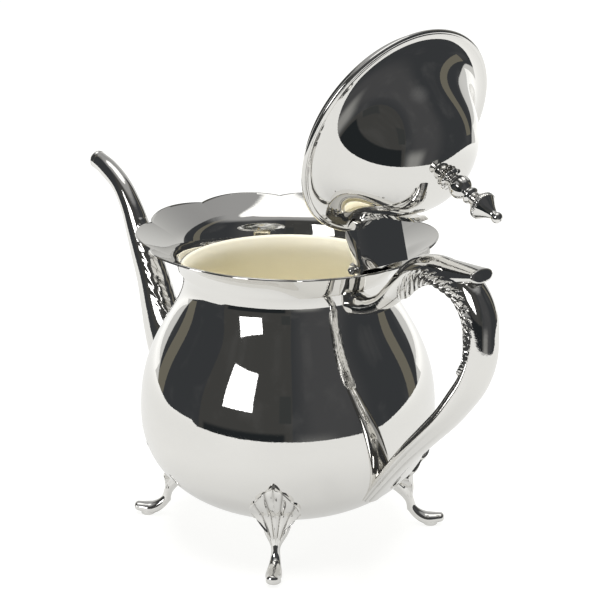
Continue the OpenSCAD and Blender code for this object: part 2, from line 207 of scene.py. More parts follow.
def tube(line, deep, wide, u, n, relief=None, bury=None):
    """Rings across a line in the XZ plane. relief(u, w) is how far the face stands proud, in mm."""
    c, d = through(line, u), heading(line, u)
    a = through(np.stack([deep, wide], 1), u)
    w = np.linspace(0, TAU, n, endpoint=False)
    uu, ww = np.meshgrid(u, w, indexing="ij")
    h = np.zeros_like(uu) if relief is None else relief(uu, ww)
    s = (a[:, :1] + h) * np.cos(ww)
    p = np.stack([c[:, :1] - d[:, 1:] * s, (a[:, 1:] + h) * np.sin(ww), c[:, 1:] + d[:, :1] * s], -1)
    return p if bury is None else seated(p, bury)


# ------------------------------------------------------------------ materials

class Net:
    """Short calls for building a node tree."""

    def __init__(self, tree):
        self.t = tree

    def node(self, kind, inputs=None, **props):
        n = self.t.nodes.new(kind)
        for k, v in props.items():
            setattr(n, k, v)
        self.fill(n, inputs or {})
        return n

    def fill(self, n, inputs):
        """Give a node's inputs their values, or the sockets that feed them."""
        for k, v in inputs.items():
            if hasattr(v, "is_linked"):
                self.t.links.new(v, n.inputs[k])
            else:
                n.inputs[k].default_value = v

    def math(self, op, a, b=0.0, c=0.0):
        return self.node("ShaderNodeMath", {0: a, 1: b, 2: c}, operation=op).outputs[0]

    def ramp(self, x, a, b, low=0.0, high=1.0):
        return self.node("ShaderNodeMapRange", {0: x, 1: a, 2: b, 3: low, 4: high},
                         interpolation_type="SMOOTHSTEP").outputs[0]

    def band(self, x, lo, hi, soft):
        """1 between lo and hi, with soft edges."""
        up = self.ramp(x, lo - soft, lo + soft)
        return self.math("MULTIPLY", up, self.ramp(x, hi - soft, hi + soft, 1.0, 0.0))

    def mix(self, fac, a, b):
        return self.node("ShaderNodeMix", {0: fac, 6: a, 7: b}, data_type="RGBA").outputs[2]

    def noise(self, place, scale, detail):
        return self.node("ShaderNodeTexNoise", {"Vector": place, "Scale": scale, "Detail": detail}).outputs[0]

    def uneven(self, height, strength):
        """A fine unevenness of the face."""
        inputs = {"Height": height, "Strength": strength, "Distance": 0.0002}
        return self.node("ShaderNodeBump", inputs).outputs[0]


def material(name):
    """An empty material, its node tree, its shader, and the place on the object."""
    m = bpy.data.materials.new(name)
    m.use_nodes = True
    m.node_tree.nodes.clear()
    net = Net(m.node_tree)
    bsdf = net.node("ShaderNodeBsdfPrincipled")
    net.node("ShaderNodeOutputMaterial", {0: bsdf.outputs[0]})
    place = net.node("ShaderNodeTexCoord").outputs["Object"]
    return m, net, bsdf, place


def silver(name, base, rough, wear, cast=0.0):
    """Mirror-polished plate. cast adds the fine unevenness of cast leafwork, and painted shade that darkens
    its hollows, which are also rougher.
    """
    m, net, bsdf, place = material(name)
    haze = net.noise(place, 38.0, 4.0)
    fine = net.noise(place, 900.0, 3.0)
    long = net.node("ShaderNodeMapping", {"Vector": place, "Scale": (700.0, 700.0, 4000.0)}).outputs[0]
    scratch = net.noise(long, 1.0, 2.0)
    r = net.math("ADD", net.ramp(haze, 0.35, 0.75, rough, rough + wear),
                 net.ramp(scratch, 0.62, 0.8, 0.0, wear))
    color = base
    if cast:
        # painted shade: the base colour goes nearly black in the hollows, and the hollows are also rougher
        hollow = net.node("ShaderNodeAttribute", attribute_name="dull_shaded_hollows").outputs["Fac"]
        color = net.mix(net.math("MULTIPLY", hollow, cast), base, (0.24, 0.23, 0.21, 1))
        r = net.math("ADD", r, net.math("MULTIPLY", hollow, 0.22))
    net.fill(bsdf, {"Base Color": color, "Roughness": r, "Metallic": 1.0,
                    "Normal": net.uneven(fine, 0.02 + 0.10 * cast)})
    return m


def ivory():
    """The frosted ivory-coloured inside of the pot."""
    m, net, bsdf, place = material("frosted_ivory_plating")
    cloud = net.noise(place, 24.0, 5.0)
    grain = net.noise(place, 2600.0, 2.0)
    color = net.mix(net.ramp(cloud, 0.3, 0.7), (0.91, 0.872, 0.735, 1), (0.89, 0.847, 0.70, 1))
    net.fill(bsdf, {"Base Color": color, "Roughness": net.ramp(grain, 0.3, 0.7, 0.34, 0.46), "Metallic": 0.0,
                    "Specular IOR Level": 0.35, "Normal": net.uneven(grain, 0.12)})
    return m


def turned_brass():
    m, net, bsdf, place = material("turned_brass")
    rings = net.noise(place, 1500.0, 3.0)
    color = net.mix(rings, (0.80, 0.62, 0.30, 1), (0.66, 0.50, 0.24, 1))
    net.fill(bsdf, {"Base Color": color, "Roughness": net.ramp(rings, 0.3, 0.7, 0.24, 0.40), "Metallic": 1.0})
    return m


SILVER = silver("polished_silver", (0.82, 0.81, 0.785, 1), 0.022, 0.014)
CAST = silver("cast_silver", (0.83, 0.82, 0.795, 1), 0.045, 0.03, cast=0.8)
SATIN = silver("satin_silver", (0.82, 0.82, 0.80, 1), 0.20, 0.08)
IVORY = ivory()
BRASS = turned_brass()

# ------------------------------------------------------------------ pot

ROUND = 360                          # steps round the pot and the lid


def turned_sheet(profile, edge):
    """A revolved sheet, closed on the axis, whose second material starts at the profile's place edge."""
    p = revolve(profile, ROUND)
    n, m = p.shape[:2]
    faces = grid_faces(n, m, True, False)
    # close the two pin-holes left on the axis
    faces.append(tuple(i * m for i in range(n)))
    faces.append(tuple(i * m + m - 1 for i in range(n - 1, -1, -1)))
    kinds = [0 if (k % (m - 1)) < edge else 1 for k in range(n * (m - 1))] + [0, 1]
    return p.reshape(-1, 3), faces, kinds


def pot():
    """The raised pot, polished outside and ivory inside."""
    th = np.linspace(0, math.pi / 2, 90)
    z = BELLY_Z - (BELLY_Z - BASE_Z) * np.cos(th)
    low = np.stack([lower_r(z), z], 1)
    up = SHOULDER[4::4]
    zf = np.linspace(NECK_Z, MOUTH_Z, 20)[1:]
    outer = np.concatenate([[[0.4, BASE_Z]], low, up, np.stack([flare_r(zf), zf], 1)])
    d = np.gradient(outer, axis=0)
    d /= np.linalg.norm(d, axis=1)[:, None]
    inner = outer - WALL * np.stack([d[:, 1], -d[:, 0]], 1)
    inner = inner[inner[:, 1] < MOUTH_Z - 0.6]
    inner[:, 0] = np.maximum(inner[:, 0], 0.4)
    inner = inner[::-1]
    lip = np.array([[MOUTH_R + WALL - 0.35, MOUTH_Z + 0.12], [MOUTH_R + 0.35, MOUTH_Z + 0.12],
                    [MOUTH_R + 0.02, MOUTH_Z - 0.2]])
    prof = np.concatenate([outer, lip, inner])
    verts, faces, kinds = turned_sheet(prof, len(outer) + 1)
    ob = mesh_object("pot_body", verts, faces, [SILVER, IVORY], "pot", ["pot_shell"],
                     face_material=kinds)
    drill_strainer(ob)


HOLE_R, HOLE_PITCH, HOLE_RINGS = 1.6, 5.4, 3


def drill_strainer(ob):
    """The rosette of holes behind the spout."""
    bm = bmesh.new()
    for ring in range(HOLE_RINGS):
        for k in range(max(6 * ring, 1)):
            w = math.radians(60 * k / max(ring, 1))
            y, z = ring * HOLE_PITCH * math.sin(w), SPOUT_Z + ring * HOLE_PITCH * math.cos(w)
            at = Vector(((BELLY_R - 1) * MM, y * MM, z * MM))
            m = Matrix.Translation(at) @ Euler((0, math.pi / 2, 0)).to_matrix().to_4x4()
            bmesh.ops.create_cone(bm, cap_ends=True, segments=32, radius1=HOLE_R * MM, radius2=HOLE_R * MM,
                                  depth=12 * MM, matrix=m)
    me = bpy.data.meshes.new("drill")
    bm.to_mesh(me)
    bm.free()
    tool = bpy.data.objects.new("drill", me)
    bpy.context.scene.collection.objects.link(tool)
    mod = ob.modifiers.new("holes", "BOOLEAN")
    mod.operation, mod.solver, mod.object = "DIFFERENCE", "EXACT", tool
    bpy.context.view_layer.update()
    made = bpy.data.meshes.new_from_object(ob.evaluated_get(bpy.context.evaluated_depsgraph_get()))
    ob.modifiers.clear()
    if len(made.polygons) > len(ob.data.polygons) // 2:
        ob.data = made
    ob.data.set_sharp_from_angle(angle=math.radians(40))
    bpy.data.objects.remove(tool)


COLLAR_BOW, COLLAR_T = 6.7, 0.12     # how high the collar bows, and how soon


def gallery():
    """The scalloped collar soldered round the mouth."""
    n, rows = 720, 40
    w = np.linspace(0, TAU, n, endpoint=False)[:, None]
    lobe = np.abs(np.sin(SCALLOPS * w / 2)) ** 0.8
    # the collar stands steep above the mouth and rolls over into the flange, except behind the lid
    clear = smooth(math.radians(24), math.radians(50), np.abs(w - math.pi))

    def face(t, out):
        r0, r1 = MOUTH_R + 0.8, lerp(LIP_R, LIP_R + SCALLOP * lobe, t * t)
        low = LIP_Z + LIP_TILT * np.cos(w)
        z1 = lerp(low, low + 0.35 * SCALLOP * lobe, t * t)
        r = lerp(r0, r1, t) + out * 0.7
        bow = COLLAR_BOW * (1 - t) * (1 - np.exp(-t / COLLAR_T))
        z = lerp(MOUTH_Z + 0.05, z1, t) + bow * clear - out * 0.7 * (1 - 0.5 * t)
        return np.stack([r * np.cos(w), r * np.sin(w), z], -1)

    t = np.linspace(0, 1, rows)[None, :] ** 1.5
    inner, outer = face(t[:, ::-1], 0), face(t, WALL)
    # a rounded lip in place of the sheet's square edge
    a, b = inner[:, 0], outer[:, -1]
    mid, half = (a + b) / 2, (b - a) / 2
    up = np.array([0, 0, 1.0])
    turn = np.linspace(0, math.pi, 9)[1:-1]
    size = np.linalg.norm(half, axis=1, keepdims=True)
    roll = np.stack([mid + half * math.cos(x) + up * size * math.sin(x) * 0.8 for x in turn], 1)
    p = np.concatenate([inner, outer, roll], 1)
    shells("gallery_rim", [(p, True, True, False, None)], [SILVER], "pot", ["gallery"])


# ------------------------------------------------------------------ cast leafwork

def leaf_relief(u, w, start, stop, lobes, reach, height, slant):
    """Acanthus leaf that wraps the side of a tube facing w = 0, between two places on its line.

    reach is its half width as a part of half a turn, and slant is how many lobes its strokes sweep back.
    Returns how far it stands proud, in mm, and from 0 to 1 the painted shade of its hollows.
    """
    s = (u - start) / (stop - start)
    live = (s > 0) & (s < 1)
    sc = np.clip(s, 0, 1)
    a = np.abs(np.where(w > math.pi, w - TAU, w)) / math.pi
    stroke = lobes * sc - slant * a
    saw = np.abs(stroke % 1.0 - 0.5) * 2
    edge = reach * np.sin(math.pi * np.clip(sc * 0.94 + 0.03, 0, 1)) ** 0.45 * (1 - 0.26 * saw)
    inside = smooth(0.0, 0.04, edge - a) * live
    vein = np.abs(np.sin(math.pi * stroke))
    fine = np.abs(np.sin(math.pi * (2 * stroke + 0.5)))
    rib = bump(a, 0, 0.035)
    curl = bump(edge - a, 0.06, 0.04)
    h = height * inside * (0.2 + 0.6 * vein ** 0.5 + 0.14 * fine * vein + 0.4 * rib + 0.4 * curl)
    # painted shade between the strokes and in a line round the leaf's edge
    hollow = inside * (1 - vein) ** 5 + 0.4 * bump(edge - a, -0.005, 0.015) * live
    return h, np.clip(hollow, 0, 1)


SPOUT_LINE = [[74, 54], [84, 56.5], [93, 63], [99.5, 72.5], [104.5, 84], [109, 96], [115, 108], [121, 119.5],
              [127, 130.5], [135.5, 140.5], [147, 147], [158, 150.5]]
SPOUT_D = [24, 19, 15, 12.3, 10.2, 8.9, 8, 7, 5.9, 5.2, 5.1, 4.6]
SPOUT_W = [15, 13.4, 11.8, 10.4, 9.2, 8.2, 7.4, 6.5, 5.6, 5, 4.8, 4.2]
SPOUT_LEAF = dict(start=3.2, stop=7.4, lobes=9, reach=0.36, height=0.22, slant=5.0)


def spout():
    """The hollow swan-neck spout, an outer and an inner face joined at both ends."""
    n, rows = 96, 220
    u = np.linspace(0, len(SPOUT_LINE) - 1, rows + 1)[1:]
    w = np.linspace(0, TAU, n, endpoint=False)
    first = u > 0.34                 # nearer the pot, the spout spreads into its foot

    def seat(inset):
        y = (SPOUT_WIDE - inset) * np.sin(w)
        z = SPOUT_Z + (SPOUT_DEEP - inset) * np.cos(w)
        r = pot_r(z) - 0.5
        return np.stack([np.sqrt(r * r - y * y), y, z], 1)

    def rings(inset, relief):
        body = tube(SPOUT_LINE, np.array(SPOUT_D) - inset, np.array(SPOUT_W) - inset, u[first], n, relief)
        foot = seat(inset)
        blend = [lerp(foot, body[0], k) for k in np.linspace(0, 1, 9)[1:-1]]
        return np.concatenate([foot[None], np.array(blend), body])

    def relief(uu, ww):
        h, _ = leaf_relief(uu, ww, **SPOUT_LEAF)
        # a turned band behind the mouth
        return h + 0.35 * bump(uu, 10.86, 0.07) + 0.12 * bump(uu, 10.6, 0.05)

    outer, inner = rings(0, relief), rings(1.0, None)
    uu = np.concatenate([np.zeros(len(outer) - first.sum()), u[first]])
    # painted shade in the leaf's hollows
    cav = leaf_relief(*np.meshgrid(uu, w, indexing="ij"), **SPOUT_LEAF)[1]
    p = np.concatenate([outer, inner[::-1]])
    cav = np.concatenate([cav, 0 * cav])
    shells("spout_body", [(p, True, True, False, cav)], [CAST], "pot", ["spout"])


HANDLE_LINE = [[-48, 122.3], [-57.5, 123.4], [-66, 127.5], [-73, 133.5], [-79.5, 140], [-87.5, 146.5],
               [-97, 149.8], [-107.5, 149.2], [-118, 145.6], [-125.2, 136.8], [-127, 126], [-126.4, 116],
               [-122.2, 105.5], [-115.3, 95.5], [-107, 85], [-96.5, 74], [-86.5, 63.5], [-77, 52.5],
               [-68, 41.5], [-60.5, 31.5]]
HANDLE_D = [5.2, 4.2, 4.2, 4.8, 5.2, 5.8, 6.2, 6.8, 7.4, 7.4, 7, 6.8, 6.6, 6.2, 5.5, 4.9, 4.5, 4, 3.4, 2]
HANDLE_W = [7.5, 6, 5.4, 5.6, 6, 6.6, 7.2, 7.6, 7.6, 7.4, 7.2, 7, 7, 6.9, 6.8, 6.6, 6.5, 6.4, 6.2, 5.6]
HANDLE_LEAF = dict(start=3.4, stop=12.0, lobes=22, reach=0.63, height=1.1, slant=9.0)
TONGUE_FROM, TONGUE_TO = [-108, 149.2], [-125.4, 153.2]
TONGUE_WAY = [-1, 0.12]
TONGUE_D, TONGUE_W = [7, 3.2], [7.5, 6.8]


def tongue():
    """The broad tongue under the thumb, blunt at its end."""
    along, round_off = 40, 8
    q = np.linspace(0, 1.3, round_off + 1)[1:]
    t = np.concatenate([np.linspace(0, 1, along), np.ones(round_off)])
    ease = np.concatenate([np.ones(along), np.cos(q)])
    c = np.stack([lerp(a, b, t) for a, b in zip(TONGUE_FROM, TONGUE_TO)], 1)
    c[along:] += 1.1 * np.sin(q)[:, None] * np.array(TONGUE_WAY)
    d = np.array(TONGUE_WAY) / math.hypot(*TONGUE_WAY)
    w = np.linspace(0, TAU, 64, endpoint=False)
    trim = 1 - (1 - ease) * 0.35
    deep = (lerp(*TONGUE_D, t) * trim)[:, None] * np.cos(w)
    wide = (lerp(*TONGUE_W, t) * trim)[:, None] * np.sin(w) * (1 + 0.05 * np.cos(2 * w))
    return np.stack([c[:, :1] - d[1] * deep, wide, c[:, 1:] + d[0] * deep], -1)


def handle():
    """The cast handle: leafwork above, a grooved strap below, and the tongue under the thumb."""
    n, rows = 128, 520
    u = np.linspace(0, len(HANDLE_LINE) - 1, rows)
    w = np.linspace(0, TAU, n, endpoint=False)

    def relief(uu, ww):
        h, hollow = leaf_relief(uu, ww, **HANDLE_LEAF)
        # flat-topped strap with four long grooves towards the lower end
        strap = smooth(13.5, 16.5, uu)
        groove = bump(np.abs(ww - math.pi), 0.62, 0.10) + bump(np.abs(ww - math.pi), 1.25, 0.12)
        # the grooves get painted shade as well
        return h - 0.45 * strap * groove, np.clip(hollow + 0.3 * strap * groove, 0, 1)

    p = tube(HANDLE_LINE, HANDLE_D, HANDLE_W, u, n, lambda a, b: relief(a, b)[0], bury=0.5)
    cav = relief(*np.meshgrid(u, w, indexing="ij"))[1]
    parts = [(p, False, True, True, cav), (tongue(), False, True, True, None)]
    shells("handle_casting", parts, [CAST], "pot", ["handle"])


LEG_LINE = [[49.5, 25], [55.5, 18.6], [58.6, 12.6], [60.8, 7], [66.5, 3.2], [74, 3.6]]
LEG_D = [4.4, 3.2, 2.1, 2.3, 2.9, 2.2]
LEG_W = [8.0, 5.2, 2.2, 2.4, 3.6, 2.8]
FOOT_LEAF_LOW, FOOT_LEAF_TOP, FOOT_LEAF_HALF = 13.5, 46, 12
STEM_R = 58.9                        # how far out the leaf hangs where it meets the stem
# half width of the leaf's lower part, a funnel that opens upwards from the stem
FUNNEL_T = [0, 0.12, 0.21, 0.34, 0.42, 0.45]
FUNNEL_HALF = [1.9, 2.5, 3.9, 7.6, 11.4, FOOT_LEAF_HALF]


def foot_leaf():
    """The fan of ribs on the belly, and the painted shade of the hollows between them."""
    t = np.linspace(0, 1, 96)[:, None]
    s = np.linspace(-1, 1, 97)[None, :]
    fan_t = FUNNEL_T[-1]
    width = np.where(t < fan_t, np.interp(t, FUNNEL_T, FUNNEL_HALF),
                     FOOT_LEAF_HALF * np.cos(math.pi / 2 * (np.maximum(t - fan_t, 0) / 0.57) ** 1.2))
    x, y = s * width, t * 29 + 3
    fan = np.degrees(np.arctan2(x, y))
    # rounded ribs fan out and sweep round, and each ends in a lobe of the outline
    ribs = np.abs(np.sin(math.pi * (fan * (1 + 0.4 * (1 - t)) / 17 + 0.5)))
    x = x * (1 - 0.16 * (1 - ribs) ** 2 * np.abs(s) ** 5 * smooth(0.12, 0.3, t))
    edge = bump(1 - np.abs(s), 0.06, 0.05)
    tip = smooth(0.74, 0.9, t)
    relief = (0.2 + 1.0 * ribs ** 0.6 * smooth(0.02, 0.2, t) + 0.9 * edge * ribs + 0.5 * bump(s, 0, 0.07)
              + 1.6 * tip * (1 - np.abs(s)) * (1 - 0.7 * bump(s, 0, 0.18)))
    thick = 1.15 * (1 - 0.5 * np.abs(s))
    z = lerp(FOOT_LEAF_LOW, FOOT_LEAF_TOP, t) + 0 * s
    # the leaf lies on the belly above and hangs free of it below, down to the stem
    belly = pot_r(z)
    hang = STEM_R - 0.08 * (z - FOOT_LEAF_LOW)
    r = (belly + hang + np.sqrt((belly - hang) ** 2 + 3)) / 2

    def face(base, out):
        k = base - 0.25 + out
        return np.stack([k * np.cos(x / base), k * np.sin(x / base), z - 0.35 * out * (1 - t)], -1)

    top, under = face(r, thick + relief * 0.75), face(np.maximum(belly, r - 2.6), 0 * thick)
    # painted shade between the ribs and down the middle of the tip
    hollow = np.clip((1 - ribs) ** 5 * smooth(0.02, 0.2, t) + 0.5 * tip * bump(s, 0, 0.15), 0, 1)
    return np.concatenate([top[:, ::-1], under], 1), np.concatenate([hollow[:, ::-1], 0 * hollow], 1)


def foot_leg():
    """The stem, shin and toe, and the painted shade of the hollows beside the toe."""
    u = np.linspace(0, len(LEG_LINE) - 1, 90)
    n = 48
    w = np.linspace(0, TAU, n, endpoint=False)

    def toe_groove(uu, ww):
        return bump(np.abs(np.abs(ww - math.pi) - 0.7), 0.0, 0.16) * smooth(3.3, 3.9, uu)

    def knuckles(uu, ww):
        front = np.clip(-np.cos(ww), 0, 1)
        beside = np.abs(np.sin(ww))
        stem = smooth(2.2, 1.2, uu) * np.abs(np.sin(4 * ww + 0.9 * uu)) ** 0.7
        return (0.5 * stem + 0.35 * bump(uu, 2.75, 0.12) * front - 0.30 * toe_groove(uu, ww)
                + 0.25 * beside * bump(uu, 4.3, 0.25))

    leg = tube(LEG_LINE, LEG_D, LEG_W, u, n, knuckles, bury=0.25)
    end, way = through(LEG_LINE, u)[-1], heading(LEG_LINE, u)[-1]
    # round off the toe
    last, out = leg[-1], np.array([way[0], 0, way[1]])
    mid = np.array([end[0], 0, end[1]])
    cap = np.array([mid + (last - mid) * math.cos(q) + out * 1.7 * math.sin(q)
                    for q in np.linspace(0, math.pi / 2 - 0.12, 9)[1:]])
    leg = np.concatenate([leg, cap])
    leg[..., 2] = np.maximum(leg[..., 2], 0.15)
    # painted shade in the toe's grooves
    hollow = np.zeros(leg.shape[:2])
    hollow[:len(u)] = np.clip(toe_groove(u[:, None], w[None, :]), 0, 1)
    return leg, hollow


def foot(name, node, angle):
    """One foot, turned to its place round the pot."""
    pad_line = [[0.3, 0.0], [PAD_R - 0.3, 0.0], [PAD_R, 0.3], [PAD_R, 2.0], [PAD_R - 0.5, 2.9], [0.3, 3.0]]
    pad = revolve(pad_line, 48) + np.array([FOOT_R, 0, 0])
    cs, sn = math.cos(math.radians(angle)), math.sin(math.radians(angle))

    def placed(p):
        return np.stack([p[..., 0] * cs - p[..., 1] * sn, p[..., 0] * sn + p[..., 1] * cs, p[..., 2]], -1)

    (leaf, between), (leg, beside_toe) = foot_leaf(), foot_leg()
    parts = [(placed(leaf), False, True, True, between), (placed(leg), False, True, True, beside_toe),
             (placed(pad), True, False, False, None)]
    shells(name, parts, [CAST], "pot", [node])


# ------------------------------------------------------------------ lid

DOME = [[RIM_R - 1, RIM_Z + 1], [27, RIM_Z + 2], [35.5, DOME_Z], [0, DOME_Z]]
DOME_LINE = bez(DOME, np.linspace(0, 1, 600))


def dome_z(r):
    """Height of the shut lid's outer face at a radius."""
    return np.interp(-np.asarray(r, float), -DOME_LINE[:, 0], DOME_LINE[:, 1])


LID_WALL, ROLL_R = 1.2, 1.1
PLUG_LOW = RIM_Z - 4.8


def lid_dome():
    """The lid's ogee dome and rolled rim, satin underneath."""
    line = DOME_LINE[::4]
    d = np.gradient(line, axis=0)
    d /= np.linalg.norm(d, axis=1)[:, None]
    inner = line - LID_WALL * np.stack([d[:, 1], -d[:, 0]], 1)
    # fine turned lines round the rim
    r = line[:, 0]
    outer = line.copy()
    outer[:, 1] += 0.16 * bump(r, 47.9, 0.3) + 0.05 * bump(r, 46.9, 0.25)
    outer[:, 0] = np.maximum(outer[:, 0], 0.4)
    inner[:, 0] = np.maximum(inner[:, 0], 0.4)
    q = np.linspace(math.radians(60), math.radians(-120), 22)
    roll = np.stack([RIM_R - ROLL_R + ROLL_R * np.cos(q), RIM_Z + ROLL_R * np.sin(q)], 1)
    under = np.array([[47.5, RIM_Z - 0.6], [PLUG_R - 1, RIM_Z - 0.6], [PLUG_R - 1.2, RIM_Z + 0.3]])
    keep = inner[inner[:, 0] < PLUG_R - 1.3]
    prof = np.concatenate([outer[::-1], roll, under, keep])
    verts, faces, kinds = turned_sheet(prof, len(outer) + len(roll) + 2)
    mesh_object("lid_dome", opened(verts), faces, [SILVER, SATIN], "lid", ["lid_shell"],
                face_material=kinds)


def lid_plug():
    """The short ring under the lid that enters the mouth."""
    inside, flange = PLUG_R - 1.1, PLUG_R + 1.6
    ring = [[inside, PLUG_LOW + 0.15], [PLUG_R - 0.85, PLUG_LOW], [PLUG_R - 0.4, PLUG_LOW],
            [PLUG_R - 0.1, PLUG_LOW + 0.25], [PLUG_R, PLUG_LOW + 0.7],
            # a fine bead, then the flange soldered under the rim
            [PLUG_R, RIM_Z - 2.0], [PLUG_R + 0.12, RIM_Z - 1.7], [PLUG_R, RIM_Z - 1.4],
            [PLUG_R, RIM_Z - 0.9], [PLUG_R + 0.5, RIM_Z - 0.7], [flange, RIM_Z - 0.65],
            [flange, RIM_Z - 0.61], [inside, RIM_Z - 0.61]]
    shells("lid_plug", [(opened(revolve(ring, ROUND)), True, True, False, None)], [SILVER], "lid",
           ["lid_plug_ring"])


THUMB_ROOT_X, THUMB_TIP_X, THUMB_LIFT = 41.5, 25.5, 3.8


def thumb_leaf():
    """The ribbed leaf that lifts off the dome above the hinge."""
    t = np.linspace(0, 1, 110)[:, None]
    s = np.linspace(-1, 1, 81)[None, :]
    x = lerp(THUMB_ROOT_X, THUMB_TIP_X, t) + 0 * s
    lobes = np.abs(np.sin(math.pi * 4.5 * t))
    w = lerp(11, 3.4, np.sqrt(t)) * (1 - 0.12 * (1 - lobes) * smooth(0.02, 0.15, t))
    y = s * w
    r = np.hypot(x, y)
    lift = THUMB_LIFT * np.sin(math.pi / 2 * np.clip((t - 0.2) / 0.7, 0, 1)) ** 2
    ribs = np.abs(np.cos(math.pi * (3.0 * np.abs(s) + 3.5 * t)))
    top = (dome_z(r) + lift + 1.2 * (1 - 0.35 * s ** 4) + 0.55 * ribs ** 0.7 + 0.5 * bump(s, 0, 0.08)
           + 0.35 * bump(np.abs(s), 0.93, 0.06))
    under = dome_z(r) + lift * lerp(0.5, 0.75, smooth(0.8, 1, t)) - 0.3
    p = np.concatenate([np.stack([-x, y, top], -1), np.stack([-x, y, under], -1)[:, ::-1]], 1)
    # painted shade between the ribs
    cav = np.concatenate([(1 - ribs) ** 2, 0 * ribs[:, ::-1]], 1)
    shells("thumb_leaf_casting", [(opened(p), False, True, True, cav)], [CAST], "lid", ["thumb_leaf"])


PETALS = 8
ROSETTE_Z, ROSETTE_H = DOME_Z - 0.2, 3.0


def rosette():
    """The ring of petals under the knob."""
    n = 192

    def petal(w, t):
        round_petal = np.abs(np.cos(PETALS / 2 * w)) ** 0.6 - 0.5
        return 1 + 0.20 * round_petal * np.sin(math.pi * np.clip(t * 1.05, 0, 1))

    q = np.linspace(-0.42 * math.pi, 0.5 * math.pi, 30)
    half = ROSETTE_H / 2
    prof = np.stack([2.0 + 2.9 * np.cos(q), ROSETTE_Z + half + half * np.sin(q)], 1)
    prof = np.concatenate([[[0.3, ROSETTE_Z]], prof, [[0.3, ROSETTE_Z + ROSETTE_H]]])
    w = np.linspace(0, TAU, n, endpoint=False)[:, None]
    # painted shade between the petals
    cav = np.clip((1 - np.abs(np.cos(PETALS / 2 * w))) ** 3 * np.ones(len(prof))[None, :], 0, 1)
    shells("knob_rosette_petals", [(opened(revolve(prof, n, petal)), True, False, False, cav)], [CAST], "lid",
           ["knob_rosette"])


# heights on the knob run from 0 to 1
BALL_R, BALL_T, BAND_T = 4.92, 0.16, 0.632
# radius and height of the knob's turned features above its ball
KNOB_LINE = [[2.6, 0.30], [2.45, 0.315], [2.6, 0.33], [3.4, 0.345], [3.8, 0.365], [3.8, 0.385], [3.4, 0.405],
             [2.75, 0.42], [2.7, 0.435], [2.9, 0.46], [3.6, 0.50], [4.5, 0.54], [5.3, 0.575], [5.8, 0.595],
             [KNOB_R, 0.605], [KNOB_R, 0.62], [KNOB_R, 0.64], [KNOB_R, 0.66], [5.75, 0.668], [5.5, 0.68],
             [5.0, 0.70], [4.3, 0.73], [3.6, 0.76], [2.8, 0.80], [2.2, 0.84], [1.8, 0.865], [1.85, 0.88],
             [2.2, 0.895], [2.45, 0.92], [2.4, 0.95], [2.0, 0.975], [1.2, 0.994], [0.3, 1]]


def knob():
    """The turned baluster, with a milled band round its widest place."""
    low, height = ROSETTE_Z + ROSETTE_H, KNOB_H - ROSETTE_H

    def kz(t):
        return low + height * t

    def ball_r(t):
        return math.sqrt(max(BALL_R ** 2 - (kz(t) - kz(BALL_T)) ** 2, 0))

    ball = [[ball_r(t), t] for t in np.linspace(0.035, 0.285, 26)]
    line = np.array([[0.3, 0], [2.9, 0], [3.3, 0.02]] + ball + KNOB_LINE)
    z = kz(line[:, 1])

    def milled(w, t):
        band = bump(z, kz(BAND_T), 0.75)[None, :]
        flute = bump(z, kz(BALL_T), 3.2)[None, :]
        return 1 + 0.035 * band * np.sign(np.cos(36 * w)) + 0.02 * flute * np.cos(12 * w)

    turned = revolve(np.stack([line[:, 0], z], 1), 288, milled)
    shells("knob_baluster", [(opened(turned), True, False, False, None)], [CAST], "lid", ["knob"])


# ------------------------------------------------------------------ small fittings, from the CAD solids

def dressed(name, node, body, mat, bevel):
    """The CAD solid's own shape with its edges eased."""
    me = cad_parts[node].data.copy()
    me.materials.clear()
    me.materials.append(mat)
    bm = bmesh.new()
    bm.from_mesh(me)
    bmesh.ops.remove_doubles(bm, verts=bm.verts, dist=2e-6)
    bmesh.ops.dissolve_limit(bm, angle_limit=math.radians(1), verts=bm.verts, edges=bm.edges)
    sharp = [e for e in bm.edges if len(e.link_faces) == 2 and e.calc_face_angle(0) > math.radians(28)]
    bmesh.ops.bevel(bm, geom=sharp, offset=bevel * MM, segments=3, profile=0.5, affect="EDGES",
                    clamp_overlap=True)
    bm.to_mesh(me)
    bm.free()
    me.polygons.foreach_set("use_smooth", np.ones(len(me.polygons), bool))
    me.set_sharp_from_angle(angle=math.radians(35))
    ob = bpy.data.objects.new(name, me)
    bpy.context.scene.collection.objects.link(ob)
    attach(ob, body)
    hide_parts(node)


pot()
gallery()
spout()
handle()
for foot_name, angle in (("front_left_foot", 45), ("back_left_foot", 135), ("back_right_foot", 225),
                         ("front_right_foot", 315)):
    foot(foot_name + "_casting", foot_name, angle)
lid_dome()
lid_plug()
thumb_leaf()
rosette()
knob()
dressed("hinge_bracket_casting", "hinge_bracket", "pot", SILVER, 0.25)
dressed("hinge_pin_rod", "hinge_pin", "lid", SILVER, 0.05)
dressed("lid_hinge_box_plate", "lid_hinge_box", "lid", SILVER, 0.2)
dressed("knob_stud_rod", "knob_stud", "lid", BRASS, 0.2)
dressed("knob_washer_disc", "knob_washer", "lid", SATIN, 0.12)
dressed("knob_nut_hex", "knob_nut", "lid", BRASS, 0.15)

# ------------------------------------------------------------------ table, light and camera


def side(angle):
    """Direction at an angle round from the camera's side, level."""
    a = CAMERA_SIDE + math.radians(angle)
    return np.array([math.cos(a), math.sin(a), 0.0])


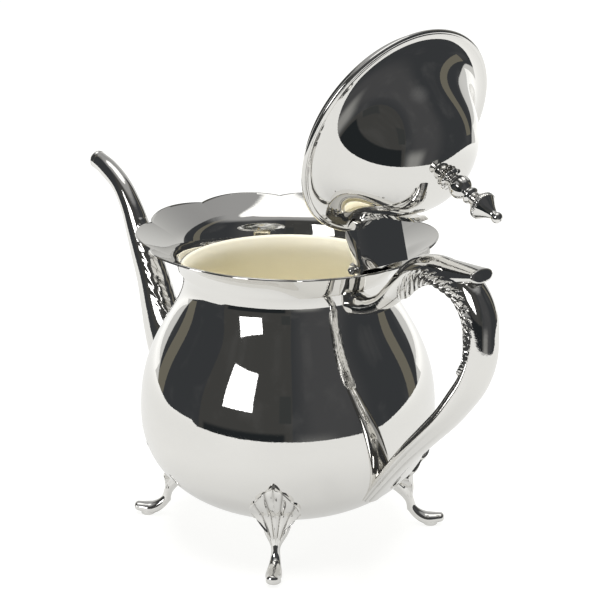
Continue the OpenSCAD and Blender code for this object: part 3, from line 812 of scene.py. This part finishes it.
def table():
    """A pale table that ends a little in front of the pot and runs on a long way behind it."""
    far, half = 7.0, 128
    turn = np.linspace(-half, half, 80)
    # its near edge is further off to the left and right of the camera
    near = (0.41 + 0.15 * smooth(-68, -72, turn) + 0.04 * smooth(-30, -70, turn)
            + 0.45 * smooth(62, 120, turn) + 0.4 * smooth(-95, -126, turn))
    arc = [side(a) * r for a, r in zip(turn, near)]
    back = [side(a) * far for a in np.linspace(half, 360 - half, 60)]
    me = bpy.data.meshes.new("table")
    me.from_pydata([tuple(p) for p in arc + back], [], [tuple(range(len(arc + back)))])
    m, net, bsdf, place = material("table_paper")
    paper = net.mix(net.noise(place, 30.0, 4.0), (0.19, 0.19, 0.187, 1), (0.175, 0.175, 0.172, 1))
    away = net.node("ShaderNodeVectorMath", {0: place}, operation="LENGTH").outputs["Value"]
    # the table glows, so that shadows stay faint: nearly white to the camera, and a little darker in the
    # silver, where the glow fades near the pot into a painted shadow
    seen = net.node("ShaderNodeLightPath").outputs["Is Camera Ray"]
    glow = net.node("ShaderNodeMix", {0: seen, 2: net.ramp(away, 0.25, 1.3, 0.60, 0.98), 3: 0.88}).outputs[0]
    net.fill(bsdf, {"Base Color": paper, "Roughness": 0.7, "Specular IOR Level": 0.1,
                    "Emission Color": (1, 1, 0.985, 1), "Emission Strength": glow})
    me.materials.append(m)
    ob = bpy.data.objects.new("table", me)
    bpy.context.scene.collection.objects.link(ob)


# what the silver sees: from and to, round from the camera's side, then low and high, in degrees
COLUMN = (-6, 3, 2, 22)
FLOOR_SHEEN = (8, 34, -60, -13)
DARK_FLOOR = (-66, -2, -50, -6)
STRIPS = ((-125, -112, -6, 60), (107, 118, -6, 60))
WINDOW = (-51, -27, 8.5, 34)


def studio():
    """A dark room on the camera's side with a window in it, and white all round behind the pot."""
    world = bpy.data.worlds.new("studio")
    bpy.context.scene.world = world
    world.use_nodes = True
    world.node_tree.nodes.clear()
    net = Net(world.node_tree)
    way = net.node("ShaderNodeTexCoord").outputs["Generated"]

    def along(v):
        dot = net.node("ShaderNodeVectorMath", {0: way, 1: tuple(v)}, operation="DOT_PRODUCT")
        return dot.outputs["Value"]

    az = net.math("MULTIPLY", net.math("ARCTAN2", along(side(90)), along(side(0))), 180 / math.pi)
    up = net.node("ShaderNodeSeparateXYZ", {0: way}).outputs[2]
    el = net.math("MULTIPLY", net.math("ARCSINE", up), 180 / math.pi)

    def patch(area, soft=0.4):
        a0, a1, e0, e1 = area
        return net.math("MULTIPLY", net.band(az, a0, a1, soft), net.band(el, e0, e1, soft))

    dark = (0.042, 0.045, 0.049, 1)
    room = net.mix(net.band(az, -70, 4, 0.6), dark, (0.056, 0.056, 0.054, 1))
    room = net.mix(net.band(az, 12, 60, 12), room, (0.066, 0.067, 0.070, 1))
    cloud = net.ramp(net.noise(way, 3.0, 3.0), 0.5, 0.75)
    room = net.mix(net.math("MULTIPLY", cloud, 0.25), room, (0.12, 0.12, 0.12, 1))
    room = net.mix(patch(COLUMN, 0.8), room, (0.044, 0.047, 0.047, 1))
    # the studio floor past the table: a soft sheen, and a dark part beside it
    room = net.mix(net.math("MULTIPLY", patch(FLOOR_SHEEN, 9), 0.9), room, (0.30, 0.30, 0.29, 1))
    room = net.mix(patch(DARK_FLOOR, 1.5), room, (0.018, 0.021, 0.023, 1))
    for strip in STRIPS:
        room = net.mix(patch(strip), room, (0.16, 0.15, 0.12, 1))
    room = net.mix(patch(WINDOW), room, (3.6, 3.6, 3.65, 1))
    # the backdrop curves round, brighter low down, and a wide soft light hangs overhead
    grey = net.mix(net.ramp(el, 2, 48), (0.66, 0.66, 0.645, 1), (0.34, 0.34, 0.34, 1))
    wide = net.math("ADD", net.math("ABSOLUTE", az), net.math("MULTIPLY", net.ramp(el, -8, 9), -14))
    room = net.mix(net.ramp(wide, 120.5, 122.5), room, grey)
    room = net.mix(net.ramp(el, 47, 62), room, (0.36, 0.36, 0.36, 1))
    roof = net.math("ADD", el, net.math("MULTIPLY", net.band(az, -95, 95, 6), -6))
    room = net.mix(net.ramp(roof, 66, 68), room, (1.35, 1.35, 1.33, 1))
    seen = net.node("ShaderNodeLightPath").outputs["Is Camera Ray"]
    sky = net.mix(seen, room, (1.0, 1.0, 1.0, 1))
    bg = net.node("ShaderNodeBackground", {"Color": sky, "Strength": 1.0})
    net.node("ShaderNodeOutputWorld", {0: bg.outputs[0]})


def lamp(name, at, aim, size, watts):
    """A soft area lamp that the silver doesn't show."""
    data = bpy.data.lights.new(name, "AREA")
    data.shape, data.size, data.size_y, data.energy = "RECTANGLE", size[0], size[1], watts
    ob = bpy.data.objects.new(name, data)
    ob.location = at
    ob.rotation_euler = (Vector(aim) - Vector(at)).to_track_quat("-Z", "Y").to_euler()
    ob.visible_glossy = False
    bpy.context.scene.collection.objects.link(ob)


def camera():
    """The photo's own place and angle, worked out from the feet, the mouth and the belly's outline."""
    data = bpy.data.cameras.new("camera")
    data.sensor_width = 36
    data.lens = 108.94
    data.clip_start, data.clip_end = 0.05, 50
    ob = bpy.data.objects.new("camera", data)
    az, el, far = math.radians(140.2), math.radians(17.96), 0.85088
    back = Vector((math.cos(az) * math.cos(el), math.sin(az) * math.cos(el), math.sin(el)))
    right = Vector((-math.sin(az), math.cos(az), 0))
    aside, height = 0.00571, 0.11161
    ob.location = right * aside + Vector((0, 0, height)) + back * far
    ob.rotation_mode = "QUATERNION"
    ob.rotation_quaternion = back.to_track_quat("Z", "Y")
    bpy.context.scene.collection.objects.link(ob)
    bpy.context.scene.camera = ob


table()
studio()
above = side(180) * 0.05 + np.array([0, 0, 1.5])
behind = side(165) * 1.6 + np.array([0, 0, 1.2])
lamp("overhead", tuple(above), (0, 0, 0), (1.2, 1.2), 33)
lamp("rear_fill", tuple(behind), tuple(side(180) * 0.5), (1.6, 1.2), 10)
camera()

scene = bpy.context.scene
scene.view_settings.view_transform = "Standard"
scene.view_settings.look = "None"
scene.cycles.max_bounces = 12
scene.cycles.glossy_bounces = 8
scene.cycles.sample_clamp_indirect = 6
